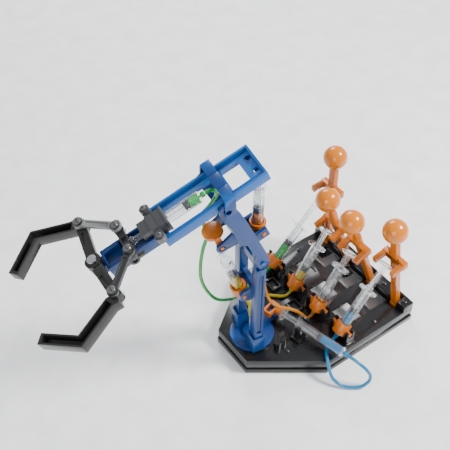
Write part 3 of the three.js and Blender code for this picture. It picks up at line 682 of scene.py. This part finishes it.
def thumb_profile(middle, radius):
    """A disc with rounded edges and a shallow dish in its top."""
    return [
        [0, middle - THUMB_HALF],
        [radius - 0.4, middle - THUMB_HALF],
        [radius, middle - 0.4],
        [radius, middle + 0.4],
        [radius - 0.4, middle + THUMB_HALF],
        [radius - 1.6, middle + THUMB_HALF],
        [radius - 2.0, middle + 0.5],
        [0, middle + 0.5],
    ]


def syringe(label, place, bodies, nodes, thumb, long, water, winged=True, thumb_r=7.7):
    """A clear barrel, its water, which stretches with the plunger, and a ribbed plunger with a seal."""
    barrel_body, rod_body = bodies
    barrel_node, plunger_node = nodes
    tip = thumb - long
    clear = PAINT["clear_plastic"]
    glass = lathe(label + "_barrel_glass", barrel_profile(), place, clear, barrel_body)
    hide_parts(barrel_node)
    if winged:
        flange_wing(label + "_flange", place, clear, barrel_body)
    lathe(label + "_cuff", CUFF, place, PAINT["hose_" + water], barrel_body, 24)
    hue = PAINT["water_" + water]
    liquid = lathe(label + "_water", water_profile(tip), place, hue, None)
    floor_at = place @ Vector((0, 0, (BARREL_FLOOR + 1) * MM))
    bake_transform(liquid, barrel_body, rod_body, start=floor_at, end=place @ Vector((0, 0, (tip - 0.1) * MM)))
    lathe(label + "_seal", seal_profile(tip), place, PAINT["seal_rubber"], rod_body, 32)
    disc = thumb_profile(thumb, thumb_r)
    lathe(label + "_thumb", disc, place, PAINT["plunger_plastic"], rod_body)
    stem = ribbed_stem(label + "_stem", tip + SEAL_LONG, thumb - THUMB_HALF, place)
    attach(stem, rod_body)
    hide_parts(plunger_node)


def ribbed_stem(name, low, high, place):
    """A cross-shaped stem with round discs along it."""
    reach, half = RIB_REACH, RIB_HALF
    corner = [
        (half, half),
        (reach - RIB_CHAMFER, half),
        (reach, half - RIB_CHAMFER),
        (reach, RIB_CHAMFER - half),
        (reach - RIB_CHAMFER, -half),
    ]
    cross = []
    for quarter in range(4):
        a = quarter * math.pi / 2
        for x, y in corner:
            cross.append((x * math.cos(a) + y * math.sin(a), x * math.sin(a) - y * math.cos(a)))
    n = len(cross)
    verts = [(x * MM, y * MM, z * MM) for z in (low, high) for x, y in cross]
    faces = [list(range(n)), list(range(n, 2 * n))]
    faces += [[k, (k + 1) % n, n + (k + 1) % n, n + k] for k in range(n)]
    sides = DISC_SIDES
    for z in (low + 1.2, (low + high) * 0.5, high - 1.6):
        start = len(verts)
        for level in (z, z + DISC_THICK):
            for k in range(sides):
                a = 2 * math.pi * k / sides
                verts.append((DISC_R * MM * math.cos(a), DISC_R * MM * math.sin(a), level * MM))
        ring = list(range(start, start + sides))
        faces += [ring, [v + sides for v in ring]]
        for k, v in enumerate(ring):
            after = ring[(k + 1) % sides]
            faces.append([v, after, after + sides, v + sides])
    obj = new_piece(name, verts, faces, place)
    outward(obj)
    return finish_mesh(obj, PAINT["plunger_plastic"])


# The water's colour, the thumb disc's height and the plunger's length of each control syringe.
CONTROLS = {
    1: ("green", 89.15, 66),
    2: ("yellow", 66.04, 50),
    3: ("amber", 65.39, 56),
    4: ("blue", 77.53, 58),
}
# The same for the two driven syringes that swing on the arm, by the part that they tilt.
DRIVEN = {"shoulder": ("yellow", 88.98, 66), "elbow": ("amber", 63.6, 46)}
GRIP = ("green", 57.8, 54.3)
SWIVEL = ("blue", 65.8, 48)
GRIP_AT = (18.5, 0, 8)  # the gripper syringe's origin in the forearm's own frame
SWIVEL_AT = (-50.0, 70.7, 32.5)


def make_syringes():
    hinge = JOINTS["shoulder"]["axis"]
    for n, (water, thumb, long) in CONTROLS.items():
        place = syringe_place(JOINTS[f"control_syringe_{n}"]["pos_m"], f"control_plunger_{n}", (0, 1, 0))
        bodies = (f"ctl_cyl_{n}", f"ctl_rod_{n}")
        syringe(f"control_{n}", place, bodies, (f"barrel_{n}", f"plunger_{n}"), thumb, long, water)
    for part, (water, thumb, long) in DRIVEN.items():
        place = syringe_place(JOINTS[part + "_syringe"]["pos_m"], part + "_plunger", hinge)
        bodies = (part + "_cyl", part + "_rod")
        syringe(part, place, bodies, (part + "_barrel", part + "_plunger"), thumb, long, water, thumb_r=7.6)
    water, thumb, long = GRIP
    place = syringe_place(on_forearm(*GRIP_AT), "grip_slide", hinge)
    nodes = ("grip_barrel", "grip_plunger")
    syringe("grip", place, ("forearm", "slider"), nodes, thumb, long, water, winged=False, thumb_r=4.5)
    water, thumb, long = SWIVEL
    place = syringe_place(Vector(SWIVEL_AT) * MM, "swivel_plunger", (0, 0, 1))
    nodes = ("swivel_barrel", "swivel_plunger")
    syringe("swivel", place, ("root", "swivel_rod"), nodes, thumb, long, water)


# ---------------------------------------------------------------- knobs and screws
KNOB_R = 12.25  # mm
KNOB_FLAT = [[0, -11.8], [3.6, -11.8], [4.8, -11.5]]  # the flat round the lever
KNOB_BALL_LOW = -11.1  # the ball starts at this height under its centre
KNOB_STEPS = 26
KNOB_SIDES = 56


def knob_profile():
    """A ball with a flat and a chamfer underneath, where the lever goes in."""
    profile = [list(point) for point in KNOB_FLAT]
    first = math.asin(KNOB_BALL_LOW / KNOB_R)
    for k in range(KNOB_STEPS + 1):
        a = first + (math.pi / 2 - first) * k / KNOB_STEPS
        r = KNOB_R * math.cos(a) if k < KNOB_STEPS else 0
        profile.append([r, KNOB_R * math.sin(a)])
    return profile


def make_knobs():
    for n in range(1, 5):
        node = f"knob_{n}"
        low, high = (Vector(c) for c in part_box(node))
        centre = (low + high) / 2
        hub = Vector(JOINTS[f"lever_{n}"]["pos_m"])
        up = centre - hub
        up.y = 0
        turn = up.to_track_quat("Z", "Y").to_matrix().to_4x4()
        place = Matrix.Translation(centre) @ turn
        paint = PAINT["knob_plastic"]
        knob = lathe(f"ball_{n}", knob_profile(), place, paint, BODY_OF[node], KNOB_SIDES)
        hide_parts(node)


SCREW_RINGS = [(1.0, -0.3), (1.0, 0.35), (0.9, 0.75), (0.62, 1.05), (0.3, 1.15)]  # scale, height in mm
SCREW_SIDES = 32
SLOT_DEPTHS = (0.45, 2)  # mm, where a recess starts and where its cutter ends above the head
# Each recess is cut by boxes, as half sizes in head radii.
RECESSES = {"cross": [(0.62, 0.13), (0.13, 0.62)], "slot": [(1.1, 0.2)]}
BOX_CORNERS = ((-1, -1), (1, -1), (1, 1), (-1, 1))
BOX_FACES = [[0, 1, 2, 3], [4, 5, 6, 7], [0, 1, 5, 4], [1, 2, 6, 5], [2, 3, 7, 6], [3, 0, 4, 7]]


def screw_head(name, radius_mm):
    """The domed head before its recess is cut."""
    verts = []
    for scale, z in SCREW_RINGS:
        for k in range(SCREW_SIDES):
            a = 2 * math.pi * k / SCREW_SIDES
            r = radius_mm * scale * MM
            verts.append((r * math.cos(a), r * math.sin(a), z * MM))
    faces = []
    for ring in range(len(SCREW_RINGS) - 1):
        low = ring * SCREW_SIDES
        high = low + SCREW_SIDES
        for k in range(SCREW_SIDES):
            m = (k + 1) % SCREW_SIDES
            faces.append([low + k, low + m, high + m, high + k])
    faces.append(list(range(SCREW_SIDES)))
    faces.append(list(range(len(verts) - SCREW_SIDES, len(verts))))
    head = new_piece(name, verts, faces)
    outward(head)
    return head


def screw(name, place, direction, radius_mm, body, kind, paint):
    """A domed screw head on place that looks along direction, with a cross or a slot sunk in it."""
    turn = Vector(direction).to_track_quat("Z", "Y").to_matrix().to_4x4()
    head = screw_head(name, radius_mm)
    cutters = []
    for n, (x, y) in enumerate(RECESSES[kind]):
        dx = x * radius_mm * MM
        dy = y * radius_mm * MM
        verts = [(sx * dx, sy * dy, z * MM) for z in SLOT_DEPTHS for sx, sy in BOX_CORNERS]
        cutter = new_piece(f"{name}_cutter_{n}", verts, BOX_FACES)
        outward(cutter)
        cut = head.modifiers.new("slot", "BOOLEAN")
        cut.operation = "DIFFERENCE"
        cut.solver = "EXACT"
        cut.object = cutter
        cutters.append(cutter)
    bpy.context.view_layer.update()
    solid = bpy.data.meshes.new_from_object(head.evaluated_get(bpy.context.evaluated_depsgraph_get()))
    head.modifiers.clear()
    head.data = solid
    for cutter in cutters:
        bpy.data.objects.remove(cutter, do_unlink=True)
    solid.transform(Matrix.Translation(Vector(place)) @ turn)
    finish_mesh(head, PAINT[paint], 30)
    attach(head, body)


# Where screws stand on the base's top and on the lever rail's blocks: x, y, height and radius in mm.
BASE_SCREWS = [(x, side * y, 19.3, 2.5) for x, y in ((-110.5, 60), (-15.8, 37)) for side in (1, -1)]
BASE_SCREWS += [(-148.2, side * y, 26.8, 2.3) for y in (34, 64.2) for side in (1, -1)]
# Pairs of screws on the forearm: place along, out and up, and radius, in mm, the kind, and the body that
# carries both. With None, each rides its own jaw.
ARM_SCREWS = {
    "corner_head": ((106.5, 40, 21.3), 3.6, "slot", None),
    "link_head": ((81, 14, 21.1), 3.3, "slot", "slider"),
    "clamp_head": ((55, 16.6, 15.7), 2.4, "cross", "forearm"),
}


def make_screws():
    for n, (x, y, z, r) in enumerate(BASE_SCREWS):
        screw(f"base_head_{n + 1}", Vector((x, y, z)) * MM, (0, 0, 1), r, "root", "cross", "screw_black")
    up = Vector(JOINTS["jaw_a"]["axis"])
    for side, jaw in ((1, "jaw_a"), (-1, "jaw_b")):
        for name, ((s, w, h), radius, kind, body) in ARM_SCREWS.items():
            screw(f"{name}_{jaw}", on_forearm(s, w * side, h), up, radius, body or jaw, kind, "boss_grey")


# ---------------------------------------------------------------- making the scene
make_camera()
make_lights()
make_floor()
PAINT = make_materials()
make_hoses(PAINT)
make_syringes()
make_knobs()
make_screws()

# Nodes that are painted otherwise than their slot.
SPECIAL_PAINT = {
    "link_a": "link_grey",
    "link_b": "link_grey",
    "grip_clamp": "clamp_grey",
    "slider": "slider_grey",
    "shoulder_pin": "arm_plastic",
}
# The nodes whose names begin or end like these are replaced by the pieces above.
REPLACED_STARTS = ("hose_", "barrel_", "plunger_", "knob_")
REPLACED_ENDS = ("_barrel", "_plunger")
for cad_node, cad_slot in SLOT_OF.items():
    if cad_node.startswith(REPLACED_STARTS) or cad_node.endswith(REPLACED_ENDS):
        continue
    softened(cad_node, PAINT[SPECIAL_PAINT.get(cad_node, cad_slot)])
